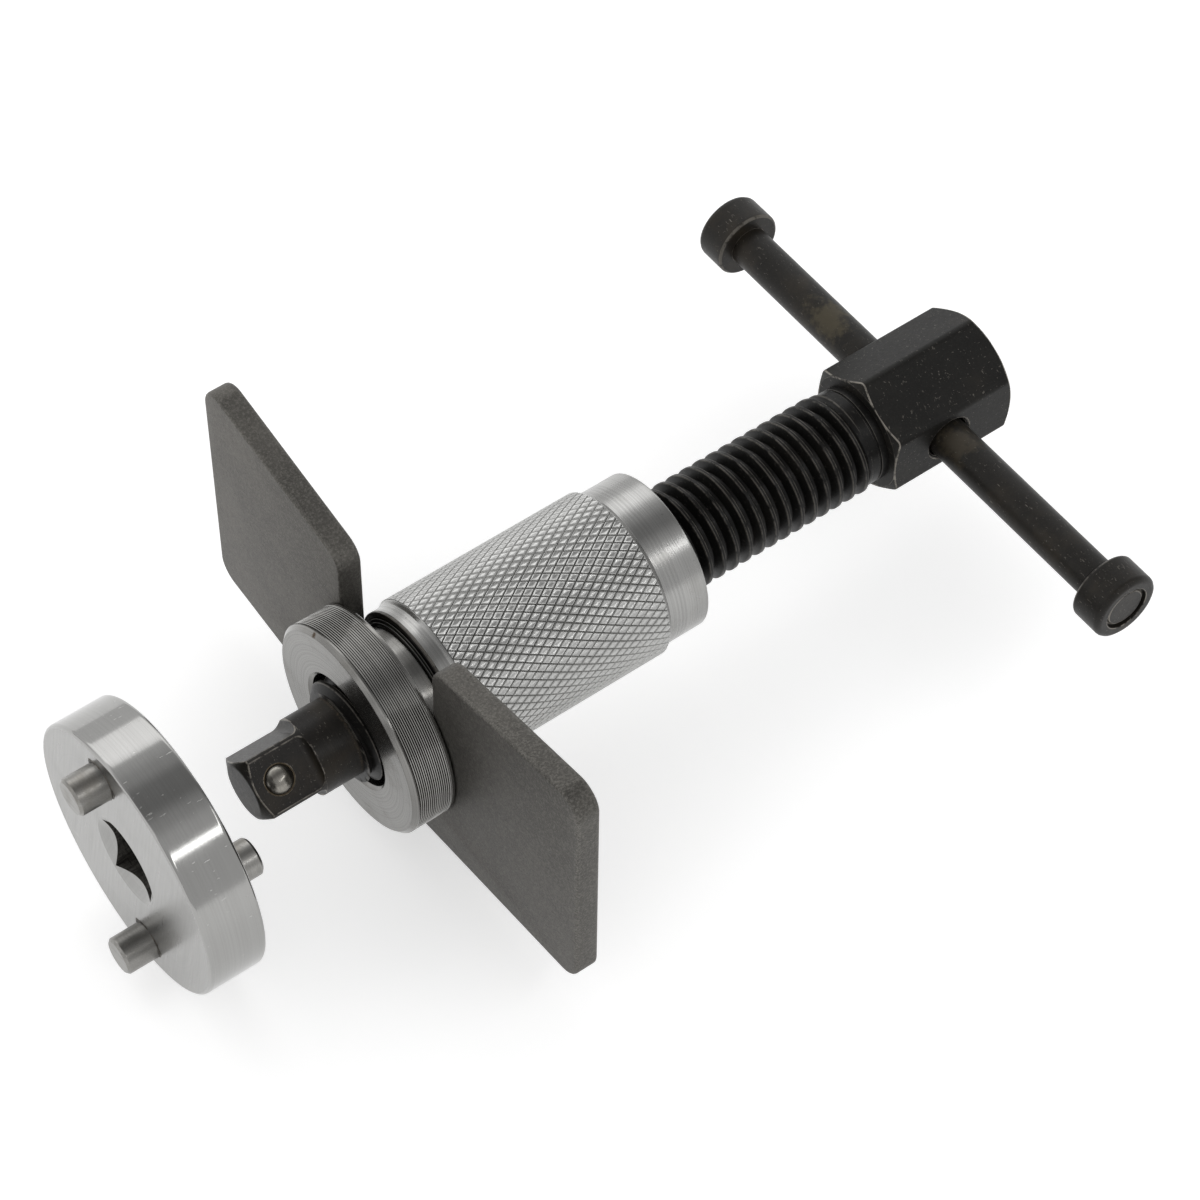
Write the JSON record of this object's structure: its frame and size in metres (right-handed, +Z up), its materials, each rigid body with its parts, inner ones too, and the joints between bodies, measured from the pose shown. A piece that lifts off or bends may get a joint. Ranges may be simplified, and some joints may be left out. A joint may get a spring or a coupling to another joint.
{
  "type": "brake caliper piston tool",
  "caption": "Hand screw tool that winds back brake caliper pistons: T-bar, threaded spindle with square drive, knurled grip, slotted reaction plate and pinned adaptor disc.",
  "frame": {"origin": "centre of the flat tip of the spindle's square drive", "axes": "+X along the spindle from the square drive to the hexagonal head; +Z up, the way the plate's slot opens; +Y along the T-bar"},
  "size_m": [0.1615, 0.0975, 0.0525],
  "materials": {
    "black_oxide": "satin black oxide with worn edges",
    "turned_steel": "fine turned",
    "tumbled_steel": "grainy, tumbled",
    "knurled_aluminium": "knurled and turned",
    "ground_steel": "polished",
    "spring_steel": "plain"
  },
  "bodies": {
    "grip": {"grip_sleeve": "knurled_aluminium", "drive_nut": "black_oxide", "snap_ring": "spring_steel"},
    "collar": {"collar": "turned_steel"},
    "plate": {"reaction_plate": "tumbled_steel"},
    "washer": {"thrust_washer": "black_oxide"},
    "spindle": {"spindle": "black_oxide", "detent_spring": "spring_steel"},
    "ball": {"detent_ball": "ground_steel"},
    "handle": {"t_bar": "black_oxide", "bar_cap_left": "black_oxide", "bar_cap_right": "black_oxide"},
    "adaptor": {"adaptor_disc": "ground_steel", "adaptor_pin_front_upper": "ground_steel", "adaptor_pin_front_lower": "ground_steel", "adaptor_pin_rear_left": "ground_steel", "adaptor_pin_rear_right": "ground_steel"}
  },
  "joints": [
    {"name": "collar_swivel", "type": "hinge", "parent": "grip", "child": "collar", "pos_m": [0.035, 0, 0], "axis": [1, 0, 0], "continuous": true},
    {"name": "plate_slide", "type": "slide", "parent": "collar", "child": "plate", "axis": [0, -0.0244, 0.9997], "range_m": [-0.036, 0]},
    {"name": "handle_turn", "type": "hinge", "parent": "grip", "child": "washer", "pos_m": [0.0296, 0, 0], "axis": [1, 0, 0], "range_deg": [-5400, 0]},
    {"name": "spindle_travel", "type": "slide", "parent": "washer", "child": "spindle", "axis": [1, 0, 0], "range_m": [-0.0376, 0.0001]},
    {"name": "bar_slide", "type": "slide", "parent": "spindle", "child": "handle", "axis": [0, 1, 0], "range_m": [-0.031, 0.0353]},
    {"name": "adaptor_slide", "type": "slide", "parent": "spindle", "child": "adaptor", "axis": [1, 0, 0], "range_m": [0, 0.0105]},
    {"name": "ball_press", "type": "slide", "parent": "spindle", "child": "ball", "axis": [0, 0.7071, -0.7071], "range_m": [0, 0.0018], "stiffness_N_per_m": 1500, "deforming": ["detent_spring"]}
  ],
  "couplings": [
    {"joint": "spindle_travel", "follows": "handle_turn", "m_per_rad": 0.00039789}
  ]
}
